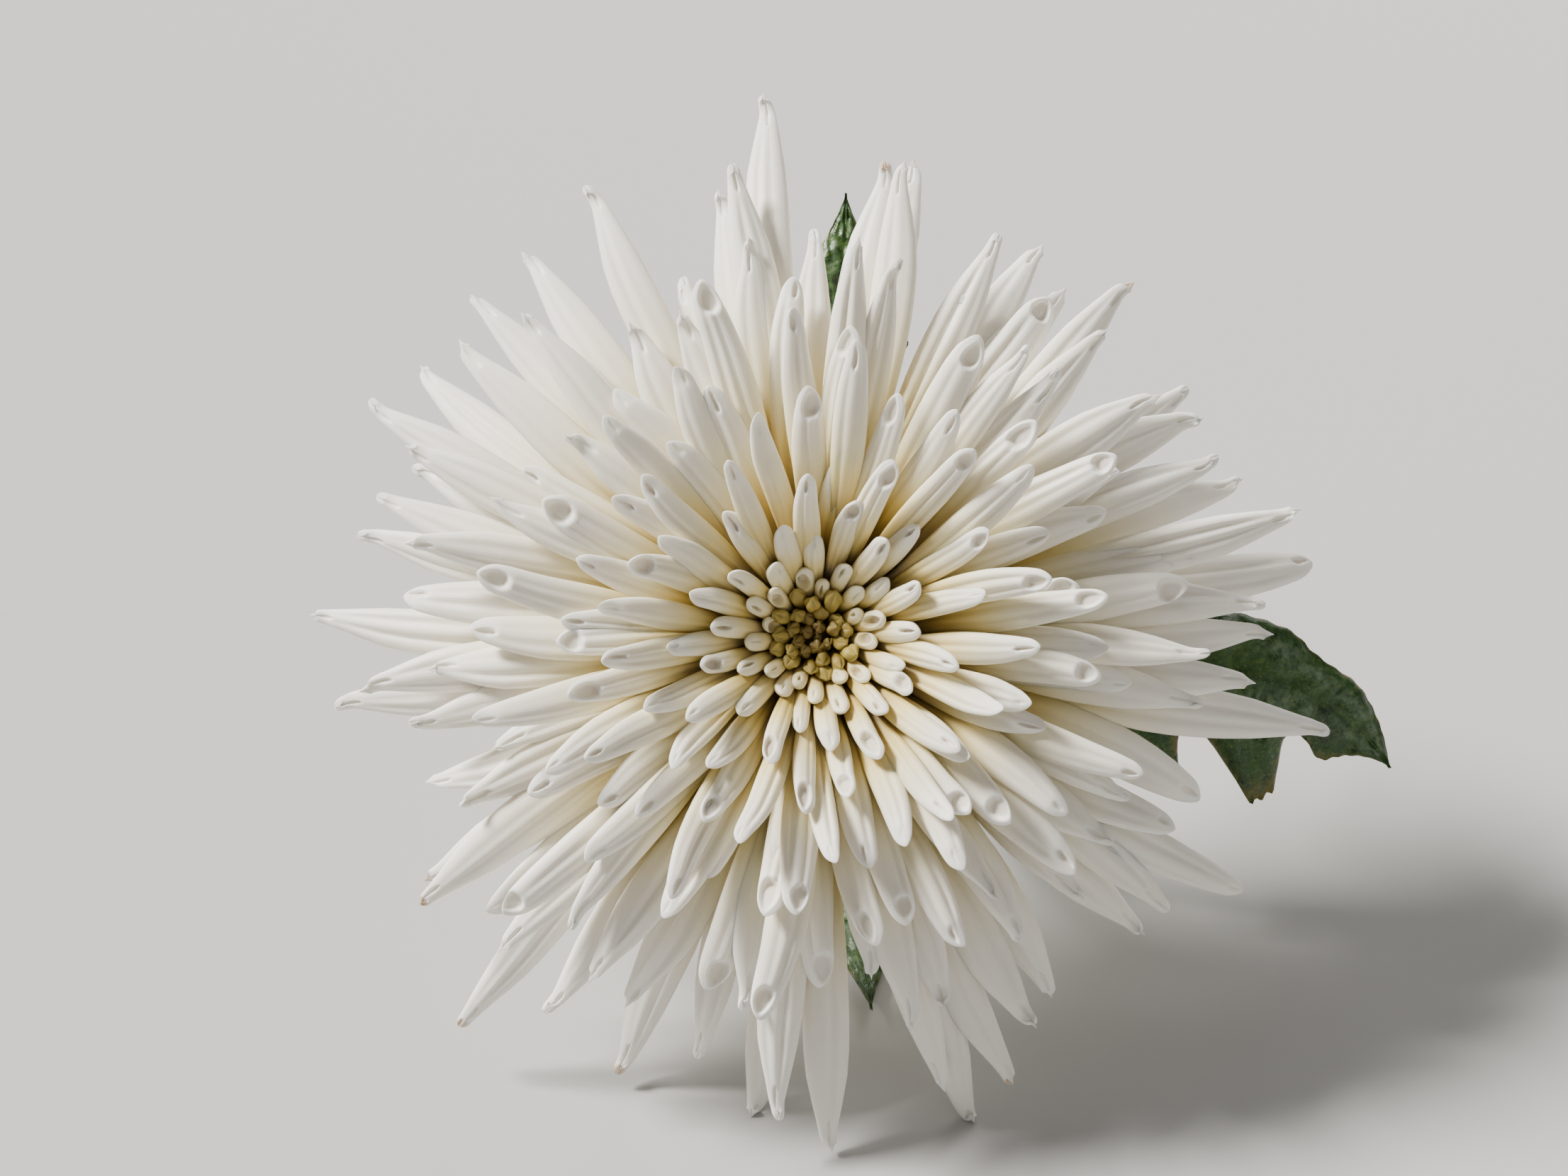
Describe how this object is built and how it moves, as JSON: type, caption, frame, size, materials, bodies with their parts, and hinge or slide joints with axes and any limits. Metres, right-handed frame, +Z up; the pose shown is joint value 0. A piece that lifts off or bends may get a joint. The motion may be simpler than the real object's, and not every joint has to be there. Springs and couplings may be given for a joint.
{
  "type": "spider chrysanthemum",
  "caption": "Cut spider chrysanthemum laid down: a white bloom of slender tubular florets round a yellow-green centre, on a short curved stem with dark lobed leaves.",
  "frame": {"origin": "on the surface that the flower lies on, under the middle of the flower's outline as seen from above", "axes": "+Z up; the stem trails towards +Y; the face of the bloom looks up and towards -Y, at 45 degrees above level"},
  "size_m": [0.1473, 0.1353, 0.0958],
  "materials": {
    "ray_florets": "satin",
    "disc_buds": "satin",
    "calyx": "matte",
    "stem": "satin",
    "leaves": "satin"
  },
  "bodies": {
    "root": {"ray_florets": "ray_florets", "disc_buds": "disc_buds", "calyx": "calyx", "stem": "stem", "leaf_right": "leaves", "leaf_upper_left": "leaves", "leaf_lower": "leaves", "leaf_upper": "leaves", "leaf_back": "leaves"}
  },
  "joints": []
}
